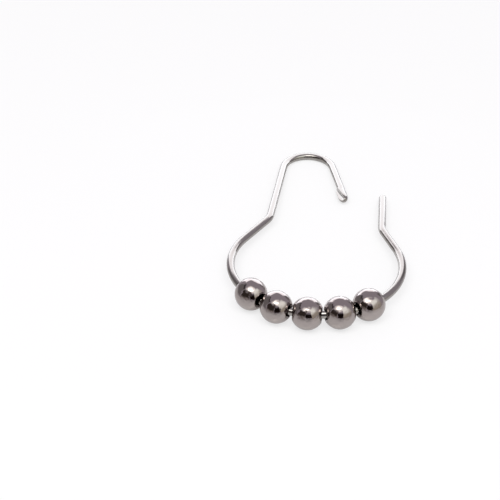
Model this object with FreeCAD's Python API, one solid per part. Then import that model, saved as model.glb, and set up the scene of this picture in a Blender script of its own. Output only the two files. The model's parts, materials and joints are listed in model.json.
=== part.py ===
import FreeCAD, Part
import math
import os

from FreeCAD import Placement, Rotation, Vector

# Shower curtain hook: a sprung wire with roller balls on its belly, lying open on its balls and its bow.
# In use the balls roll on the curtain rod inside the belly, and the bow carries the curtain's eyelet.
# Lengths are in millimetres and angles in degrees. The hook is bent in the plane Z = 0 with the centre of
# the ball run at the origin and the bow towards +Y, and is then laid down on the floor.

# Spring wire
wire_dia = 2.4

# Belly: the ball run is its lowest arc, and the sides close in above it
run_radius = 26.0
left_side_radius = 22.3
right_side_radius = 23.7
left_belly_turn = 126.1
right_belly_turn = 107.0
left_shoulder_run = 12.5
right_shoulder_run = 9.3

# Shoulders, which turn the wire back into the neck
shoulder_radius = 6.5
left_shoulder_turn = 25.2
right_shoulder_turn = 23.6

# Neck, bow and free leg
left_leg = 28.5
bow_radius = 8.1
bow_turn = 161.3
bow_drop = 12.2
free_leg = 17.2
tip_round = 1.0

# Spoon clasp pressed in the end of the bow, with a trough for the free leg
clasp_length = 7.4
clasp_width = 3.1
clasp_depth = 2.2
clasp_flare = 2.2
clasp_nose = 1.7
clasp_shift = 0.2
trough_play = 0.12
trough_turn = 9.0
trough_rise = 0.75
trough_side = 1.6

# Roller balls, the play between neighbours, and the sag of the wire in the bores of the outer two
ball_dia = 9.5
bore_play = 0.42
bore_chamfer = 0.3
ball_face = 0.4
ball_edge_round = 0.25
ball_gap = 0.2
ball_count = 5
first_ball_angle = -50.3
run_end_angle = 0.9
wire_sag = 0.25

# Ball sizes that follow from the wire
wire_radius = wire_dia / 2
ball_radius = ball_dia / 2
bore_radius = wire_radius + bore_play
face_radius = bore_radius + bore_chamfer + ball_face
half_ball = math.sqrt(ball_radius ** 2 - face_radius ** 2)

# The wire bows inside a straight bore, so the bore's axis lies halfway up the bow
run_bow = run_radius - math.sqrt(run_radius ** 2 - half_ball ** 2)
axle_radius = run_radius - run_bow / 2
half_ball_angle = math.degrees(math.atan(half_ball / (axle_radius - face_radius)))


def ball_angles():
    """Angle of each ball on the ball run, from the lowest point of the belly."""
    pitch = 2 * half_ball_angle + math.degrees(ball_gap / axle_radius)
    return [first_ball_angle + pitch * number for number in range(ball_count)]


def run_point(angle, radius):
    """Point on an arc about the centre of the ball run."""
    turned = math.radians(angle)
    return Vector(radius * math.sin(turned), -radius * math.cos(turned), 0)


class BentWire:
    """Round wire bent in one plane: straight runs and round bends, each starting where the last one ends."""

    def __init__(self, start, heading):
        self.point = start
        self.heading = heading
        self.lengths = []

    def ahead(self, turned=0.0):
        angle = math.radians(self.heading + turned)
        return Vector(math.cos(angle), math.sin(angle), 0)

    def section(self):
        circle = Part.makeCircle(wire_radius, self.point, self.ahead())
        return Part.Face(Part.Wire([circle]))

    def run(self, length):
        self.lengths.append(self.section().extrude(self.ahead() * length))
        self.point = self.point + self.ahead() * length

    def bend(self, radius, turn):
        """Bend by an angle, to the left where it is positive, and return the centre of the bend."""
        side = math.copysign(90, turn)
        centre = self.point + self.ahead(side) * radius
        self.lengths.append(self.section().revolve(centre, Vector(0, 0, 1), turn))
        self.point = centre - self.ahead(side + turn) * radius
        self.heading += turn
        return centre


def bend_left_half():
    """Wire from the lowest point of the belly up the left side and round the bow, with the bow's centre."""
    run_sweep = half_ball_angle - first_ball_angle + run_end_angle
    wire = BentWire(run_point(0, run_radius), 180)
    wire.bend(run_radius, -run_sweep)
    wire.bend(left_side_radius, run_sweep - left_belly_turn)
    wire.run(left_shoulder_run)
    wire.bend(shoulder_radius, left_shoulder_turn)
    wire.run(left_leg)
    bow_centre = wire.bend(bow_radius, -bow_turn)
    wire.run(bow_drop)
    return wire, bow_centre


def bend_right_half():
    """Wire from the lowest point of the belly up the right side to the tip of the free leg."""
    run_sweep = ball_angles()[-1] + half_ball_angle + run_end_angle
    wire = BentWire(run_point(0, run_radius), 0)
    wire.bend(run_radius, run_sweep)
    wire.bend(right_side_radius, right_belly_turn - run_sweep)
    wire.run(right_shoulder_run)
    wire.bend(shoulder_radius, -right_shoulder_turn)
    wire.run(free_leg)
    return wire


def round_tip(leg, tip):
    """A straight length of wire with its cut end rounded over."""
    cut_edges = [edge for edge in leg.Edges
                 if edge.Closed and (edge.CenterOfMass - tip).Length < wire_radius / 2]
    return leg.makeFillet(tip_round, cut_edges)


def smooth(share):
    """Rise from 0 to 1 that starts and ends level."""
    return share * share * (3 - 2 * share)


def clasp_section(along):
    """Oval section of the clasp, square to the wire, at a distance along it."""
    spread = smooth(min(along / clasp_flare, 1))
    into_nose = max(along - (clasp_length - clasp_nose), 0) / clasp_nose
    closing = math.sqrt(1 - into_nose ** 2)
    half_width = (wire_radius + (clasp_width / 2 - wire_radius) * spread) * closing
    half_depth = (wire_radius + (clasp_depth / 2 - wire_radius) * spread) * closing
    centre = Vector(clasp_shift * spread, along, 0)
    if spread == 0:
        return Part.Wire([Part.makeCircle(wire_radius, centre, Vector(0, 1, 0))])
    oval = Part.Ellipse(centre + Vector(half_width, 0, 0), centre + Vector(0, 0, half_depth), centre)
    return Part.Wire([oval.toShape()])


def make_clasp(end):
    """Spoon clasp: the end of the bow pressed wide, with a trough across it that catches the free leg."""
    stations = [clasp_flare * share for share in (0, 0.25, 0.5, 0.75, 1)]
    shoulder = clasp_length - clasp_nose
    stations += [(clasp_flare + shoulder) / 2, shoulder]
    stations += [shoulder + clasp_nose * share for share in (0.35, 0.6, 0.8, 0.92, 0.985)]
    blank = Part.makeLoft([clasp_section(along) for along in stations], True, False)

    middle = Vector(trough_side, (clasp_flare + clasp_length) / 2, trough_rise)
    turned = math.radians(trough_turn)
    along_leg = Vector(-math.sin(turned), math.cos(turned), 0)
    trough = Part.makeCylinder(wire_radius + trough_play, 2 * clasp_length,
                               middle - along_leg * clasp_length, along_leg)
    clasp = blank.cut(trough)
    clasp.Placement = Placement(end.point, Rotation(Vector(0, 0, 1), end.heading - 90))
    return clasp


def make_hook_wire():
    left, bow_centre = bend_left_half()
    right = bend_right_half()
    right.lengths[-1] = round_tip(right.lengths[-1], right.point)
    lengths = left.lengths + right.lengths + [make_clasp(left)]
    wire = lengths[0].multiFuse(lengths[1:]).removeSplitter()
    return wire.Solids[0], bow_centre


def make_ball(angle):
    """Drilled ball with a flat face round each end of its bore, on the ball run at an angle."""
    mouth = bore_radius + bore_chamfer
    half = [Vector(half_ball, face_radius), Vector(half_ball, mouth),
            Vector(half_ball - bore_chamfer, bore_radius)]
    corners = half + [Vector(-corner.x, corner.y) for corner in reversed(half)]
    outline = [Part.makeLine(start, end) for start, end in zip(corners, corners[1:])]
    outline.append(Part.Arc(corners[-1], Vector(0, ball_radius), corners[0]).toShape())
    ball = Part.Face(Part.Wire(outline)).revolve(Vector(0, 0, 0), Vector(1, 0, 0), 360)
    rims = [edge for edge in ball.Edges if edge.Closed and math.isclose(edge.Curve.Radius, face_radius)]
    ball = ball.makeFillet(ball_edge_round, rims).Solids[0]
    ball.Placement = Placement(run_point(angle, axle_radius), Rotation(Vector(0, 0, 1), angle))
    return ball


def lay_down(bow_centre):
    """Placement that rests the wire in the bores of the two outer balls and on the far side of the bow."""
    first = run_point(ball_angles()[0], axle_radius)
    last = run_point(ball_angles()[-1], axle_radius)
    row = (last - first).normalize()
    across = Vector(-row.y, row.x, 0)
    height = ball_radius - wire_sag
    reach = (bow_centre - first).dot(across) + bow_radius
    tilt = math.degrees(math.asin((height - wire_radius) / reach))
    lift = Placement(Vector(0, 0, height), Rotation())
    return lift * Placement(Vector(0, 0, 0), Rotation(row, -tilt), first)


def drop_on_floor(ball):
    """Let a ball down to the floor, within the play of its bore."""
    drop = ball_radius - ball.Placement.Base.z
    ball.Placement = Placement(Vector(0, 0, drop), Rotation()) * ball.Placement


def build():
    """Every piece of the hook at its place on the floor, by name."""
    wire, bow_centre = make_hook_wire()
    balls = [make_ball(angle) for angle in ball_angles()]
    laid = lay_down(bow_centre)
    for piece in [wire] + balls:
        piece.Placement = laid * piece.Placement
    for ball in balls:
        drop_on_floor(ball)
    box = Part.makeCompound([wire] + balls).optimalBoundingBox(False, False)
    centred = Placement(Vector(-box.Center.x, -box.Center.y, 0), Rotation())
    for piece in [wire] + balls:
        piece.Placement = centred * piece.Placement
    pieces = {"roller_ball_%d" % number: ball for number, ball in enumerate(balls, start=1)}
    pieces["hook_wire"] = wire
    return pieces, centred * laid


def main():
    os.makedirs("parts", exist_ok=True)
    pieces, _ = build()
    for name, piece in pieces.items():
        piece.exportStep("parts/%s.step" % name)


if __name__ == "__main__":
    main()
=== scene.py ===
import json
import math

import bpy
from mathutils import Matrix, Vector


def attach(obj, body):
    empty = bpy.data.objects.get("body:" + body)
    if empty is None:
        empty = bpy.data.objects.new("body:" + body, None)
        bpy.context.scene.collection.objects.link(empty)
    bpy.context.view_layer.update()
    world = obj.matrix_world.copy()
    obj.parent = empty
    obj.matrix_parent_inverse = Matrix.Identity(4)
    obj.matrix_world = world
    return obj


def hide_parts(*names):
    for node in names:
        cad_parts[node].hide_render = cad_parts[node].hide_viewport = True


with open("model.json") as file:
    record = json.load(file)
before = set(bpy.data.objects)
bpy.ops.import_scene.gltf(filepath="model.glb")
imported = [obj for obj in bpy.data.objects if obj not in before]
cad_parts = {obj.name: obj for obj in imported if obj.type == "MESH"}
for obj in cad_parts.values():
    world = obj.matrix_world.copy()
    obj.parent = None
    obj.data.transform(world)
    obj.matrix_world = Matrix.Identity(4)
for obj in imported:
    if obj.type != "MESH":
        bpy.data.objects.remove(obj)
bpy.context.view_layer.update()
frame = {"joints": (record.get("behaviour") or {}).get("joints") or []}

# Plane of the hook. The wire is bent flat, and the five balls are threaded on its belly, so their axles
# give the plane that the wire lies in and the centre of the belly. The balls stand on the floor, and the
# wire sags a little in their bores.
mm = 0.001
first_ball_angle = math.radians(-50.3)
wire_sag = 0.25 * mm

first_axle, last_axle = frame["joints"][0], frame["joints"][-1]
first_seat = Vector(first_axle["pos_m"])
seats_apart = (Vector(last_axle["pos_m"]) - first_seat).length
first_along = Vector(first_axle["axis"]).normalized()
last_along = Vector(last_axle["axis"]).normalized()
plane_up = first_along.cross(last_along).normalized()
first_outward = first_along.cross(plane_up)
last_outward = last_along.cross(plane_up)
seats_radius = seats_apart / (last_outward - first_outward).length
belly_centre = first_seat - first_outward * seats_radius
belly_centre.z -= wire_sag
plane_across = Matrix.Rotation(-first_ball_angle, 3, plane_up) @ first_along
plane_along = plane_up.cross(plane_across)


def in_plane(across, along):
    """Place of a point in the plane of the hook, measured from the centre of the belly."""
    return belly_centre + plane_across * across + plane_along * along


# Hook wire. It is one length of drawn spring wire, cut, pressed at one end, bent cold in a jig and plated
# bright. It runs from the clasp round the bow, down the long leg, round the belly and up to the free leg.
# The clasp is a spoon with a slanted trough, which the free leg snaps into.
wire_diameter = 2.4 * mm
run_radius = 26.0 * mm
run_turn_left = math.radians(61.20)
run_turn_right = math.radians(42.35)
left_side_radius = 22.3 * mm
right_side_radius = 23.7 * mm
side_turn_left = math.radians(64.90)
side_turn_right = math.radians(64.65)
left_shoulder_run = 12.5 * mm
right_shoulder_run = 9.3 * mm
shoulder_radius = 6.5 * mm
left_shoulder_turn = math.radians(25.2)
right_shoulder_turn = math.radians(23.6)
left_leg = 28.5 * mm
bow_radius = 8.1 * mm
bow_turn = math.radians(161.3)
bow_drop = 12.2 * mm
free_leg = 17.2 * mm
tip_round = 1.0 * mm
clasp_length = 7.4 * mm
clasp_width = 3.1 * mm
clasp_depth = 3.0 * mm
clasp_flare = 2.2 * mm
clasp_nose = 2.6 * mm
clasp_shift = 0.25 * mm
clasp_drop = 0.4 * mm
trough_radius = 1.32 * mm
trough_turn = math.radians(9.0)
trough_rise = 0.9 * mm
trough_side = 1.95 * mm

# Fineness of the wire's mesh
wire_sides = 40
trough_sides = 128
bend_step = math.radians(1.5)
run_step = 1.5 * mm
end_step = 0.1 * mm
least_girth = 0.01
sharp_angle = math.radians(40)


def heading_vector(heading):
    """Direction in the plane of the hook at an angle from its across line."""
    return Vector((math.cos(heading), math.sin(heading)))


def run_on(points, heading, length, step=run_step):
    """Carries a line of points straight on."""
    start = points[-1]
    count = math.ceil(length / step)
    points += [start + heading_vector(heading) * (length * n / count) for n in range(1, count + 1)]


def bend_on(points, heading, radius, turn):
    """Carries a line of points round a bend, and returns the heading after it."""
    side = math.copysign(math.pi / 2, turn)
    centre = points[-1] + heading_vector(heading + side) * radius
    count = math.ceil(abs(turn) / bend_step)
    inward = [heading_vector(heading + side + turn * n / count) for n in range(1, count + 1)]
    points += [centre - direction * radius for direction in inward]
    return heading + turn


def left_half_of_wire():
    """Centre line from the lowest point of the belly to the end of the clasp, and the heading there."""
    points = [Vector((0, -run_radius))]
    heading = bend_on(points, math.pi, run_radius, -run_turn_left)
    heading = bend_on(points, heading, left_side_radius, -side_turn_left)
    run_on(points, heading, left_shoulder_run)
    heading = bend_on(points, heading, shoulder_radius, left_shoulder_turn)
    run_on(points, heading, left_leg)
    heading = bend_on(points, heading, bow_radius, -bow_turn)
    run_on(points, heading, bow_drop)
    run_on(points, heading, clasp_length, end_step)
    return points, heading


def right_half_of_wire():
    """Centre line from the lowest point of the belly to the tip of the free leg."""
    points = [Vector((0, -run_radius))]
    heading = bend_on(points, 0.0, run_radius, run_turn_right)
    heading = bend_on(points, heading, right_side_radius, side_turn_right)
    run_on(points, heading, right_shoulder_run)
    heading = bend_on(points, heading, shoulder_radius, -right_shoulder_turn)
    run_on(points, heading, free_leg - wire_diameter)
    run_on(points, heading, wire_diameter, end_step)
    return points


def line_object(name, points, closed=False):
    """A bare line of points and edges, which a tree then gives its body."""
    mesh = bpy.data.meshes.new(name)
    edges = [(n, n + 1) for n in range(len(points) - 1)]
    if closed:
        edges.append((len(points) - 1, 0))
    mesh.from_pydata(points, edges, [])
    line = bpy.data.objects.new(name, mesh)
    bpy.context.scene.collection.objects.link(line)
    return line


def new_tree(name, inputs):
    """A tree with one geometry in and out, and the named inputs that its sizes come in by."""
    tree = bpy.data.node_groups.new(name, "GeometryNodeTree")
    tree.interface.new_socket("Geometry", in_out="INPUT", socket_type="NodeSocketGeometry")
    for label, kind in inputs:
        tree.interface.new_socket(label, in_out="INPUT", socket_type="NodeSocket" + kind)
    tree.interface.new_socket("Geometry", in_out="OUTPUT", socket_type="NodeSocketGeometry")
    return tree


def add_node(tree, kind, links=None, **settings):
    """A node with its settings, and its inputs by name or number: a socket is linked and a value is set."""
    node = tree.nodes.new(kind)
    for key, value in settings.items():
        setattr(node, key, value)
    for key, value in (links or {}).items():
        socket = node.inputs[key]
        if isinstance(value, bpy.types.NodeSocket):
            tree.links.new(value, socket)
        else:
            socket.default_value = value
    return node


def sums(tree, operation, *values):
    """Result of one sum on numbers."""
    return add_node(tree, "ShaderNodeMath", dict(enumerate(values)), operation=operation).outputs[0]


def vector_sums(tree, operation, first, second):
    """Result of one sum on vectors; Scale takes its number as the fourth socket."""
    links = {0: first, (3 if operation == "SCALE" else 1): second}
    node = add_node(tree, "ShaderNodeVectorMath", links, operation=operation)
    return node.outputs["Value" if operation == "DOT_PRODUCT" else "Vector"]


def close_tree(tree, geometry, material):
    """Ends a tree with plain geometry in its own material."""
    real = add_node(tree, "GeometryNodeRealizeInstances", {0: geometry}).outputs[0]
    finished = add_node(tree, "GeometryNodeSetMaterial", {"Geometry": real, "Material": material})
    tree.links.new(finished.outputs[0], tree.nodes.new("NodeGroupOutput").inputs[0])


def make_wire_tree():
    """Round wire along a line: one end is rounded over, the other pressed to a spoon with a trough."""
    tree = new_tree("drawn_and_pressed_wire", [
        ("Wire Diameter", "Float"), ("Tip Round", "Float"), ("Sides", "Int"),
        ("Clasp Length", "Float"), ("Clasp Width", "Float"), ("Clasp Depth", "Float"),
        ("Clasp Flare", "Float"), ("Clasp Nose", "Float"), ("Clasp Shift", "Float"),
        ("Clasp Drop", "Float"), ("Clasp Side", "Vector"), ("Clasp Face", "Vector"),
        ("Clasp Start", "Vector"), ("Trough Radius", "Float"), ("Trough Middle", "Vector"),
        ("Trough Line", "Vector"), ("Plating", "Material")])
    given = tree.nodes.new("NodeGroupInput").outputs
    line = add_node(tree, "GeometryNodeMeshToCurve", {"Mesh": given["Geometry"]})
    from_clasp = tree.nodes.new("GeometryNodeSplineParameter").outputs["Length"]
    length = tree.nodes.new("GeometryNodeSplineLength").outputs["Length"]
    from_tip = sums(tree, "SUBTRACT", length, from_clasp)
    radius = sums(tree, "MULTIPLY", given["Wire Diameter"], 0.5)

    # the free tip: a quarter round that leaves a small flat
    into_round = sums(tree, "MAXIMUM", sums(tree, "SUBTRACT", given["Tip Round"], from_tip), 0.0)
    round_height = sums(tree, "SUBTRACT", sums(tree, "MULTIPLY", given["Tip Round"], given["Tip Round"]),
                        sums(tree, "MULTIPLY", into_round, into_round))
    tip_loss = sums(tree, "SUBTRACT", given["Tip Round"], sums(tree, "SQRT", round_height))
    tip_girth = sums(tree, "SUBTRACT", 1.0, sums(tree, "DIVIDE", tip_loss, radius))

    # the clasp's nose: an oval end that closes in a round
    into_nose = sums(tree, "SUBTRACT", 1.0, sums(tree, "DIVIDE", from_clasp, given["Clasp Nose"]))
    into_nose = sums(tree, "MAXIMUM", into_nose, 0.0)
    nose_loss = sums(tree, "MULTIPLY", into_nose, into_nose)
    nose_girth = sums(tree, "SQRT", sums(tree, "SUBTRACT", 1.0, nose_loss))
    girth = sums(tree, "MAXIMUM", sums(tree, "MULTIPLY", tip_girth, nose_girth), least_girth)

    # how far along the wire each ring lies, and how far it has been spread into the clasp
    reach = sums(tree, "SUBTRACT", given["Clasp Length"], from_clasp)
    spread = add_node(tree, "ShaderNodeMapRange", {"Value": reach, "From Max": given["Clasp Flare"]},
                      interpolation_type="SMOOTHSTEP").outputs["Result"]
    kept = tree.nodes.new("GeometryNodeCaptureAttribute")
    kept.capture_items.new("FLOAT", "Spread")
    kept.capture_items.new("FLOAT", "Along")
    tree.links.new(line.outputs[0], kept.inputs["Geometry"])
    tree.links.new(spread, kept.inputs["Spread"])
    tree.links.new(from_clasp, kept.inputs["Along"])
    ring = add_node(tree, "GeometryNodeCurvePrimitiveCircle", {
        "Resolution": given["Sides"], "Radius": radius})
    turned = tree.nodes.new("GeometryNodeCaptureAttribute")
    turned.capture_items.new("FLOAT", "Around")
    share_round = tree.nodes.new("GeometryNodeSplineParameter").outputs["Factor"]
    tree.links.new(ring.outputs[0], turned.inputs["Geometry"])
    tree.links.new(share_round, turned.inputs["Around"])
    body = add_node(tree, "GeometryNodeCurveToMesh", {
        "Curve": kept.outputs["Geometry"], "Profile Curve": turned.outputs["Geometry"], "Scale": girth,
        "Fill Caps": True})

    # drawing lines run along the wire, so the finish reads its place round and along the wire
    angle = sums(tree, "MULTIPLY", turned.outputs["Around"], math.tau)
    strand = add_node(tree, "ShaderNodeCombineXYZ", {
        "X": sums(tree, "COSINE", angle), "Y": sums(tree, "SINE", angle), "Z": kept.outputs["Along"]})
    marked = add_node(tree, "GeometryNodeStoreNamedAttribute", {
        "Geometry": body.outputs[0], "Name": "strand", "Value": strand.outputs[0]},
        data_type="FLOAT_VECTOR", domain="POINT")

    # the press swells the end to a bulb and sets it over to the inner side and a little down
    spot = tree.nodes.new("GeometryNodeInputPosition").outputs[0]
    offset = vector_sums(tree, "SUBTRACT", spot, given["Clasp Start"])
    wider = sums(tree, "SUBTRACT", sums(tree, "DIVIDE", given["Clasp Width"], given["Wire Diameter"]), 1.0)
    deeper = sums(tree, "SUBTRACT", sums(tree, "DIVIDE", given["Clasp Depth"], given["Wire Diameter"]), 1.0)
    to_side = vector_sums(tree, "DOT_PRODUCT", offset, given["Clasp Side"])
    to_face = vector_sums(tree, "DOT_PRODUCT", offset, given["Clasp Face"])
    sideways = sums(tree, "ADD", sums(tree, "MULTIPLY", to_side, wider), given["Clasp Shift"])
    upwards = sums(tree, "SUBTRACT", sums(tree, "MULTIPLY", to_face, deeper), given["Clasp Drop"])
    moved = vector_sums(tree, "ADD", vector_sums(tree, "SCALE", given["Clasp Side"], sideways),
                        vector_sums(tree, "SCALE", given["Clasp Face"], upwards))
    pressed = add_node(tree, "GeometryNodeSetPosition", {
        "Geometry": marked.outputs[0],
        "Offset": vector_sums(tree, "SCALE", moved, kept.outputs["Spread"])})

    # the trough that the free leg snaps into
    bar = add_node(tree, "GeometryNodeMeshCylinder", {
        "Vertices": trough_sides, "Radius": given["Trough Radius"],
        "Depth": sums(tree, "MULTIPLY", given["Clasp Length"], 4.0)})
    aim = add_node(tree, "FunctionNodeAlignRotationToVector", {"Vector": given["Trough Line"]}, axis="Z")
    laid = add_node(tree, "GeometryNodeTransform", {
        "Geometry": bar.outputs["Mesh"], "Translation": given["Trough Middle"], "Rotation": aim.outputs[0]})
    cut = tree.nodes.new("GeometryNodeMeshBoolean")
    cut.operation = "DIFFERENCE"
    cut.solver = "EXACT"
    tree.links.new(pressed.outputs[0], cut.inputs["Mesh 1"])
    tree.links.new(laid.outputs[0], cut.inputs["Mesh 2"])
    smooth = add_node(tree, "GeometryNodeSetShadeSmooth", {"Geometry": cut.outputs["Mesh"]})
    close_tree(tree, smooth.outputs[0], given["Plating"])
    return tree


def baked(obj, tree, values, name):
    """Runs a tree on an object with its named sizes, and leaves a plain mesh in its place."""
    modifier = obj.modifiers.new("tree", "NODES")
    modifier.node_group = tree
    sockets = {item.name: item.identifier for item in tree.interface.items_tree if item.in_out == "INPUT"}
    for label, value in values.items():
        modifier[sockets[label]] = value
    evaluated = obj.evaluated_get(bpy.context.evaluated_depsgraph_get())
    mesh = bpy.data.meshes.new_from_object(evaluated)
    mesh.name = name
    old = obj.data
    obj.modifiers.remove(modifier)
    obj.data = mesh
    bpy.data.meshes.remove(old)
    obj.name = name
    mesh.set_sharp_from_angle(angle=sharp_angle)


# Marks of wear on the plating, which the wire and the balls share
speck_scale = 900.0
speck_colour = (0.30, 0.26, 0.24, 1)
speck_tint = 0.25
speck_dullness = 0.06
smear_scale = 160.0
smear_dullness = 0.07
line_dullness = 0.012
line_height = 0.4
swell_scale = 330.0
relief_depth = 0.02 * mm


def make_wear_group():
    """Bright plating: faint lines and specks of wear that change its tone, its gloss and its surface."""
    group = bpy.data.node_groups.new("bright_plating", "ShaderNodeTree")
    for label, kind in (
            ("Line Place", "Vector"), ("Place", "Vector"), ("Tone", "Color"), ("Line Scale", "Float"),
            ("Least Roughness", "Float"), ("Wear", "Float"), ("Waves", "Float")):
        group.interface.new_socket(label, in_out="INPUT", socket_type="NodeSocket" + kind)
    for label, kind in (("Colour", "Color"), ("Roughness", "Float"), ("Height", "Float")):
        group.interface.new_socket(label, in_out="OUTPUT", socket_type="NodeSocket" + kind)
    given = group.nodes.new("NodeGroupInput").outputs
    lines = add_node(group, "ShaderNodeTexNoise", {
        "Vector": given["Line Place"], "Scale": given["Line Scale"], "Detail": 4.0, "Roughness": 0.6})
    specks = add_node(group, "ShaderNodeTexNoise", {
        "Vector": given["Place"], "Scale": speck_scale, "Detail": 3.0, "Roughness": 0.55})
    smears = add_node(group, "ShaderNodeTexNoise", {
        "Vector": given["Place"], "Scale": smear_scale, "Detail": 2.0, "Roughness": 0.5})
    swells = add_node(group, "ShaderNodeTexNoise", {
        "Vector": given["Place"], "Scale": swell_scale, "Detail": 2.0})
    fine = add_node(group, "ShaderNodeMapRange", {
        "Value": lines.outputs["Fac"], "From Min": 0.35, "From Max": 0.65, "To Min": -1.0, "To Max": 1.0})
    dull = add_node(group, "ShaderNodeMapRange", {
        "Value": smears.outputs["Fac"], "From Min": 0.5, "From Max": 0.75, "To Min": 0.0,
        "To Max": smear_dullness})
    pits = add_node(group, "ShaderNodeMapRange", {
        "Value": specks.outputs["Fac"], "From Min": 0.62, "From Max": 0.72, "To Min": 0.0, "To Max": 1.0})
    worn = sums(group, "MULTIPLY", pits.outputs[0], given["Wear"])
    darker = add_node(group, "ShaderNodeMix", {
        0: sums(group, "MULTIPLY", worn, speck_tint), 6: given["Tone"], 7: speck_colour}, data_type="RGBA")
    lined = sums(group, "MULTIPLY", fine.outputs[0], line_dullness)
    specked = sums(group, "MULTIPLY", worn, speck_dullness)
    roughness = sums(group, "ADD", sums(group, "ADD", given["Least Roughness"], lined),
                     sums(group, "ADD", dull.outputs[0], specked))
    height = sums(group, "SUBTRACT", sums(group, "MULTIPLY", fine.outputs[0], line_height), worn)
    height = sums(group, "ADD", height, sums(group, "MULTIPLY", swells.outputs["Fac"], given["Waves"]))
    finished = group.nodes.new("NodeGroupOutput")
    group.links.new(darker.outputs[2], finished.inputs["Colour"])
    group.links.new(roughness, finished.inputs["Roughness"])
    group.links.new(height, finished.inputs["Height"])
    return group


wear_group = make_wear_group()


def make_plating(name, tone, line_place, settings, bump):
    """Plated metal in a tone, with its wear; line_place adds the nodes that say where its lines run."""
    material = bpy.data.materials.new(name)
    material.use_nodes = True
    tree = material.node_tree
    shader = tree.nodes["Principled BSDF"]
    place = tree.nodes.new("ShaderNodeTexCoord").outputs["Object"]
    wear = tree.nodes.new("ShaderNodeGroup")
    wear.node_tree = wear_group
    wear.inputs["Tone"].default_value = tone
    for label, value in settings.items():
        wear.inputs[label].default_value = value
    tree.links.new(place, wear.inputs["Place"])
    tree.links.new(line_place(tree, place), wear.inputs["Line Place"])
    relief = add_node(tree, "ShaderNodeBump", {
        "Strength": bump, "Distance": relief_depth, "Height": wear.outputs["Height"]})
    tree.links.new(wear.outputs["Colour"], shader.inputs["Base Color"])
    tree.links.new(wear.outputs["Roughness"], shader.inputs["Roughness"])
    tree.links.new(relief.outputs[0], shader.inputs["Normal"])
    shader.inputs["Metallic"].default_value = 1.0
    return material


wire_tone = (0.325, 0.31, 0.29, 1)
wire_bump = 0.25
line_draw = 60.0


def along_the_wire(tree, place):
    """Place round and along the wire, drawn out so that the fine lines run with the wire."""
    strand = add_node(tree, "ShaderNodeAttribute", attribute_name="strand")
    return add_node(tree, "ShaderNodeMapping", {
        "Vector": strand.outputs["Vector"], "Scale": (1.0, 1.0, line_draw)}).outputs[0]


wire_plating = make_plating("bright_plated_wire", wire_tone, along_the_wire, {
    "Line Scale": 5.0, "Least Roughness": 0.09, "Wear": 0.5, "Waves": 8.0}, wire_bump)

left_half, clasp_heading = left_half_of_wire()
centre_line = list(reversed(left_half)) + right_half_of_wire()[1:]
hook_wire = line_object("hook_wire_line", [in_plane(*point) for point in centre_line])
clasp_ahead = plane_across * math.cos(clasp_heading) + plane_along * math.sin(clasp_heading)
clasp_inward = clasp_ahead.cross(plane_up)
clasp_start = in_plane(*left_half[-1]) - clasp_ahead * clasp_length
trough_reach = (clasp_flare + clasp_length) / 2
trough_middle = (clasp_start + clasp_ahead * trough_reach + clasp_inward * trough_side
                 + plane_up * trough_rise)
trough_line = clasp_ahead * math.cos(trough_turn) - clasp_inward * math.sin(trough_turn)
baked(hook_wire, make_wire_tree(), {
    "Wire Diameter": wire_diameter, "Tip Round": tip_round, "Sides": wire_sides,
    "Clasp Length": clasp_length, "Clasp Width": clasp_width, "Clasp Depth": clasp_depth,
    "Clasp Flare": clasp_flare, "Clasp Nose": clasp_nose, "Clasp Shift": clasp_shift,
    "Clasp Drop": clasp_drop, "Clasp Side": clasp_inward, "Clasp Face": plane_up,
    "Clasp Start": clasp_start, "Trough Radius": trough_radius, "Trough Middle": trough_middle,
    "Trough Line": trough_line, "Plating": wire_plating}, "hook_wire_plated")
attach(hook_wire, "wire")
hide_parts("hook_wire")

# Roller balls. Each is a steel ball, drilled through, faced flat round both ends of the hole, tumbled and
# plated. It is threaded loosely on the belly and rolls there on the rod.
ball_diameter = 9.5 * mm
bore_diameter = 3.24 * mm
bore_chamfer = 0.3 * mm
face_diameter = 4.64 * mm
edge_round = 0.25 * mm
ball_turn_steps = 128
ball_arc_steps = 48
edge_round_steps = 5


def ball_outline():
    """Closed outline that is turned about the bore: bore, chamfer, flat face, rounded edge and ball."""
    radius = ball_diameter / 2
    face = face_diameter / 2
    half = math.sqrt(radius ** 2 - face ** 2)
    inner = radius - edge_round
    edge_along = half - edge_round
    edge_out = math.sqrt(inner ** 2 - edge_along ** 2)
    lean = math.atan2(edge_out, edge_along)
    corners = [(half - bore_chamfer, bore_diameter / 2), (half, bore_diameter / 2 + bore_chamfer)]
    edge = [lean * n / edge_round_steps for n in range(edge_round_steps + 1)]
    rim = [(edge_along + edge_round * math.cos(a), edge_out + edge_round * math.sin(a)) for a in edge]
    arc = [lean + (math.pi / 2 - lean) * n / ball_arc_steps for n in range(1, ball_arc_steps + 1)]
    side = corners + rim + [(radius * math.cos(a), radius * math.sin(a)) for a in arc]
    return side + [(-along, out) for along, out in reversed(side[:-1])]


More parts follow.
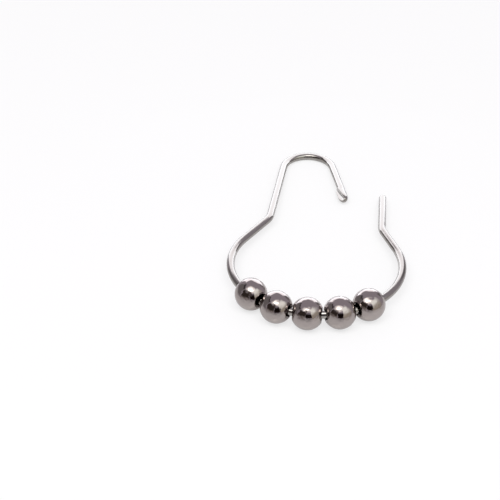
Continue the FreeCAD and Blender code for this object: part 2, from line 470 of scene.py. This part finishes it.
def make_ball_tree():
    """Turns an outline about the bore and carries it to its place on the wire."""
    tree = new_tree("turned_ball", [
        ("Turning Radius", "Float"), ("Steps", "Int"), ("Seat", "Vector"), ("Axle", "Vector"),
        ("Plating", "Material")])
    given = tree.nodes.new("NodeGroupInput").outputs
    outline = add_node(tree, "GeometryNodeMeshToCurve", {"Mesh": given["Geometry"]})
    circle = add_node(tree, "GeometryNodeCurvePrimitiveCircle", {
        "Resolution": given["Steps"], "Radius": given["Turning Radius"]})
    turned = add_node(tree, "GeometryNodeCurveToMesh", {
        "Curve": circle.outputs[0], "Profile Curve": outline.outputs[0]})
    aim = add_node(tree, "FunctionNodeAlignRotationToVector", {"Vector": given["Axle"]}, axis="Z")
    seated = add_node(tree, "GeometryNodeTransform", {
        "Geometry": turned.outputs[0], "Translation": given["Seat"], "Rotation": aim.outputs[0]})
    smooth = add_node(tree, "GeometryNodeSetShadeSmooth", {"Geometry": seated.outputs[0]})
    close_tree(tree, smooth.outputs[0], given["Plating"])
    return tree


def all_over(tree, place):
    """Place on the ball itself, whose marks run every way."""
    return place


ball_tone = (0.357, 0.321, 0.305, 1)
ball_bump = 0.15
ball_plating = make_plating("bright_plated_ball", ball_tone, all_over, {
    "Line Scale": 700.0, "Least Roughness": 0.07, "Wear": 0.6, "Waves": 110.0}, ball_bump)

# the outline is carried round a ring half as wide as the ball
turning_radius = ball_diameter / 4
outline_from_ring = [Vector((out - turning_radius, along, 0)) for along, out in ball_outline()]
ball_tree = make_ball_tree()
for number, axle in enumerate(frame["joints"], start=1):
    ball = line_object("ball_outline_%d" % number, outline_from_ring, closed=True)
    baked(ball, ball_tree, {
        "Turning Radius": turning_radius, "Steps": ball_turn_steps, "Seat": Vector(axle["pos_m"]),
        "Axle": Vector(axle["axis"]), "Plating": ball_plating}, "roller_ball_%d_plated" % number)
    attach(ball, axle["child"])
    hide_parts("roller_ball_%d" % number)

# Floor. A sheet of lacquered white board, larger than the view from any side. The camera sees it mostly as
# plain white, and it keeps a share of the hook's shadow. The metal mirrors it with its gloss.
floor_radius = 3.0
floor_sides = 96
floor_colour = (0.92, 0.935, 0.915, 1)
mottle_colour = (0.8, 0.8, 0.8, 1)
mottle_share = 0.01
mottle_scale = 8.0
seen_white_share = 0.7
mirrored_white_share = 0.3
lacquer_index = 1.5
lacquer_roughness = 0.1


def make_floor_material():
    """White board with the faintest mottle, seen and mirrored mostly as plain white."""
    material = bpy.data.materials.new("white_board")
    material.use_nodes = True
    tree = material.node_tree
    shader = tree.nodes["Principled BSDF"]
    place = tree.nodes.new("ShaderNodeTexCoord").outputs["Object"]
    mottle = add_node(tree, "ShaderNodeTexNoise", {"Vector": place, "Scale": mottle_scale, "Detail": 2.0})
    tint = add_node(tree, "ShaderNodeMix", {
        0: sums(tree, "MULTIPLY", mottle.outputs["Fac"], mottle_share), 6: floor_colour,
        7: mottle_colour}, data_type="RGBA")
    tree.links.new(tint.outputs[2], shader.inputs["Base Color"])
    shader.inputs["Roughness"].default_value = 0.9
    shader.inputs["Specular IOR Level"].default_value = 0.1
    rays = tree.nodes.new("ShaderNodeLightPath").outputs
    mirrored = sums(tree, "MAXIMUM", rays["Is Glossy Ray"], rays["Is Transmission Ray"])
    share = sums(tree, "MAXIMUM", sums(tree, "MULTIPLY", rays["Is Camera Ray"], seen_white_share),
                 sums(tree, "MULTIPLY", mirrored, mirrored_white_share))
    white = add_node(tree, "ShaderNodeEmission", {"Color": (1, 1, 1, 1), "Strength": 1.0})
    board = add_node(tree, "ShaderNodeMixShader", {0: share, 1: shader.outputs[0], 2: white.outputs[0]})
    lacquer = add_node(tree, "ShaderNodeBsdfGlossy", {"Roughness": lacquer_roughness})
    gloss = add_node(tree, "ShaderNodeFresnel", {"IOR": lacquer_index}).outputs[0]
    coated = add_node(tree, "ShaderNodeMixShader", {
        0: sums(tree, "MULTIPLY", gloss, mirrored), 1: board.outputs[0], 2: lacquer.outputs[0]})
    tree.links.new(coated.outputs[0], tree.nodes["Material Output"].inputs["Surface"])
    return material


bpy.ops.mesh.primitive_circle_add(vertices=floor_sides, radius=floor_radius, fill_type="NGON")
floor = bpy.context.object
floor.name = "floor"
floor.data.materials.append(make_floor_material())

# Light. One broad soft box hangs above the camera's side and lights the board and the hook evenly. The
# metal doesn't mirror the lamp itself, but two glows among the cards below.
row_middle = Vector(frame["joints"][2]["pos_m"])
soft_box_azimuth = math.radians(188)
soft_box_height = math.radians(66)
soft_box_distance = 1.0
soft_box_width = 1.15
soft_box_depth = 0.46
soft_box_radiance = 4.6


def toward(azimuth, height):
    """Direction at an azimuth, clockwise from +Y, and a height above the floor."""
    level = math.cos(height)
    return Vector((math.sin(azimuth) * level, math.cos(azimuth) * level, math.sin(height)))


soft_box_light = bpy.data.lights.new("soft_box", "AREA")
soft_box_light.shape = "RECTANGLE"
soft_box_light.size = soft_box_width
soft_box_light.size_y = soft_box_depth
soft_box_light.energy = soft_box_radiance * math.pi * soft_box_width * soft_box_depth
soft_box = bpy.data.objects.new("soft_box", soft_box_light)
soft_box_side = toward(soft_box_azimuth, soft_box_height)
soft_box.location = row_middle + soft_box_side * soft_box_distance
soft_box.rotation_mode = "QUATERNION"
soft_box.rotation_quaternion = soft_box_side.to_track_quat("Z", "Y")
soft_box.visible_camera = False
soft_box.visible_glossy = False
bpy.context.scene.collection.objects.link(soft_box)

# Cards. Polished metal needs pale and dark things to mirror, so curved cards with soft edges stand round
# the hook, where only the metal sees them: a white one behind, a warm one on the right, dark ones on the
# left, beside the white one and round the camera. The soft box's face and core glow above, in front.
card_steps = 12


def stage_card(name, points, faces, spots, material):
    """Card that only the metal sees, with a place on its face for each of its corners."""
    mesh = bpy.data.meshes.new(name)
    mesh.from_pydata(points, [], faces)
    layer = mesh.uv_layers.new(name="UVMap")
    for loop in mesh.loops:
        layer.data[loop.index].uv = spots[loop.vertex_index]
    mesh.materials.append(material)
    card = bpy.data.objects.new(name, mesh)
    bpy.context.scene.collection.objects.link(card)
    card.visible_camera = False
    card.visible_diffuse = False
    card.visible_shadow = False


def new_card_material(name):
    """Empty material of a card, with the place on its face."""
    material = bpy.data.materials.new(name)
    material.use_nodes = True
    tree = material.node_tree
    tree.nodes.remove(tree.nodes["Principled BSDF"])
    return material, tree, tree.nodes.new("ShaderNodeTexCoord").outputs["UV"]


def glow_through(tree, cover, colour):
    """Ends a card's material: a glow where it is covered, and nothing where it is not."""
    glow = add_node(tree, "ShaderNodeEmission", {"Color": colour})
    clear = tree.nodes.new("ShaderNodeBsdfTransparent")
    mixed = add_node(tree, "ShaderNodeMixShader", {0: cover, 1: clear.outputs[0], 2: glow.outputs[0]})
    tree.links.new(mixed.outputs[0], tree.nodes["Material Output"].inputs["Surface"])


def smooth_share(tree, value, start, end):
    """Rise from 0 to 1 between two values that starts and ends level."""
    return add_node(tree, "ShaderNodeMapRange", {"Value": value, "From Min": start, "From Max": end},
                    interpolation_type="SMOOTHSTEP").outputs["Result"]


def between(ends, share):
    """Angle at a share of the way between two angles in degrees."""
    return math.radians(ends[0] + (ends[1] - ends[0]) * share)


def stand_card(name, azimuths, heights, distance, low_colour, high_colour=None, rise=(0, 1),
               soft_sides=(0.1, 0.1), soft_head=0.1):
    """Curved card round the ball row, between two azimuths and two heights in degrees, seen from there.

    It passes from a low to a high colour between two shares of its height, and fades out at its edges."""
    material, tree, place = new_card_material(name)
    place = add_node(tree, "ShaderNodeSeparateXYZ", {0: place})
    left, height = place.outputs["X"], place.outputs["Y"]
    tint = add_node(tree, "ShaderNodeMix", {
        0: smooth_share(tree, height, *rise), 6: low_colour, 7: high_colour or low_colour},
        data_type="RGBA")
    cover = smooth_share(tree, sums(tree, "SUBTRACT", 1.0, height), 0.0, soft_head)
    for inward, softness in ((left, soft_sides[0]), (sums(tree, "SUBTRACT", 1.0, left), soft_sides[1])):
        cover = sums(tree, "MULTIPLY", cover, smooth_share(tree, inward, 0.0, softness))
    glow_through(tree, cover, tint.outputs[2])

    shares = [n / card_steps for n in range(card_steps + 1)]
    spots = [(across, up) for up in shares for across in shares]
    points = [row_middle + distance * toward(between(azimuths, across), between(heights, up))
              for across, up in spots]
    row = card_steps + 1
    faces = [(n, n + 1, n + 1 + row, n + row) for n in range(row * card_steps) if n % row < card_steps]
    stage_card(name, points, faces, spots, material)


def hang_glow(name, azimuth, height, half_width, half_depth, distance, colour):
    """Flat oval glow that faces the ball row, brightest in the middle, with sizes in degrees from there."""
    material, tree, place = new_card_material(name)
    centred = add_node(tree, "ShaderNodeMapping", {
        "Vector": place, "Location": (-1, -1, 0), "Scale": (2, 2, 1)})
    fall = add_node(tree, "ShaderNodeTexGradient", {"Vector": centred.outputs[0]},
                    gradient_type="QUADRATIC_SPHERE")
    glow_through(tree, fall.outputs["Fac"], colour)

    facing, lift = math.radians(azimuth), math.radians(height)
    across = toward(facing + math.pi / 2, 0) * distance * math.tan(math.radians(half_width))
    up = toward(facing, lift + math.pi / 2) * distance * math.tan(math.radians(half_depth))
    middle = row_middle + toward(facing, lift) * distance
    spots = ((0, 0), (1, 0), (1, 1), (0, 1))
    points = [middle + across * (2 * u - 1) + up * (2 * v - 1) for u, v in spots]
    stage_card(name, points, [(0, 1, 2, 3)], spots, material)


hang_glow("soft_box_face", azimuth=190, height=68, half_width=44, half_depth=29, distance=0.35,
          colour=(5.6, 5.55, 5.35, 1))
hang_glow("soft_box_core", azimuth=192, height=67, half_width=24, half_depth=10, distance=0.345,
          colour=(12.0, 11.8, 11.5, 1))
stand_card("white_card", azimuths=(-34, 38), heights=(0, 34), distance=0.125,
           low_colour=(3.1, 3.2, 3.45, 1), high_colour=(2.4, 2.35, 2.5, 1), rise=(0, 0.85),
           soft_sides=(0.08, 0.06), soft_head=0.2)
stand_card("dark_card_back", azimuths=(38, 60), heights=(2, 32), distance=0.30,
           low_colour=(0.27, 0.25, 0.26, 1), soft_sides=(0.2, 0.4), soft_head=0.3)
stand_card("warm_card", azimuths=(76, 158), heights=(0, 66), distance=0.30,
           low_colour=(0.64, 0.58, 0.50, 1), high_colour=(1.85, 1.9, 1.85, 1), rise=(0.15, 0.7),
           soft_sides=(0.45, 0.06), soft_head=0.15)
stand_card("dark_card_left", azimuths=(-98, -40), heights=(0, 41), distance=0.30,
           low_colour=(0.28, 0.26, 0.27, 1))
stand_card("dark_edge_left", azimuths=(-98, -40), heights=(38, 52), distance=0.29,
           low_colour=(0.09, 0.08, 0.085, 1), soft_sides=(0.2, 0.2), soft_head=0.5)
stand_card("black_card_left", azimuths=(-167, -98), heights=(0, 54), distance=0.285,
           low_colour=(0.42, 0.37, 0.36, 1), high_colour=(0.06, 0.045, 0.04, 1), rise=(0, 0.3),
           soft_sides=(0.15, 0.08), soft_head=0.32)
stand_card("dark_card_front", azimuths=(182, 226), heights=(26, 61), distance=0.30,
           low_colour=(0.2, 0.16, 0.16, 1), soft_sides=(0.2, 0.25), soft_head=0.4)
stand_card("black_card_front", azimuths=(150, 196), heights=(2, 42), distance=0.28,
           low_colour=(0.03, 0.02, 0.018, 1), high_colour=(0.01, 0.005, 0.004, 1), rise=(0, 0.3),
           soft_sides=(0.2, 0.1), soft_head=0.42)

# Surroundings. The room beyond the cards is a plain mauve grey. The metal mirrors it wherever no card
# stands, and it lights the board a little from every side.
room_colour = (0.541, 0.492, 0.559, 1)

world = bpy.data.worlds.new("plain_room")
bpy.context.scene.world = world
world.use_nodes = True
world.node_tree.nodes["Background"].inputs["Color"].default_value = room_colour

# Camera. It looks down on the hook from the front, a little from the left, at about 38 degrees above the
# floor and from 0.42 m away. It aims to the left of the hook, which so lies in the right of the frame.
camera_place = Vector((-27.82, -335.50, 258.41)) * mm
camera_aim = Vector((-19.35, -4.66, 0.0)) * mm
camera_lens = 99.38
camera_sensor = 36.0
nearest_seen = 10 * mm

camera_data = bpy.data.cameras.new("camera")
camera_data.lens = camera_lens
camera_data.sensor_width = camera_sensor
camera_data.clip_start = nearest_seen
camera = bpy.data.objects.new("camera", camera_data)
camera.location = camera_place
camera.rotation_mode = "QUATERNION"
camera.rotation_quaternion = (camera_aim - camera_place).to_track_quat("-Z", "Y")
bpy.context.scene.collection.objects.link(camera)
bpy.context.scene.camera = camera
bpy.context.scene.view_settings.view_transform = "Standard"
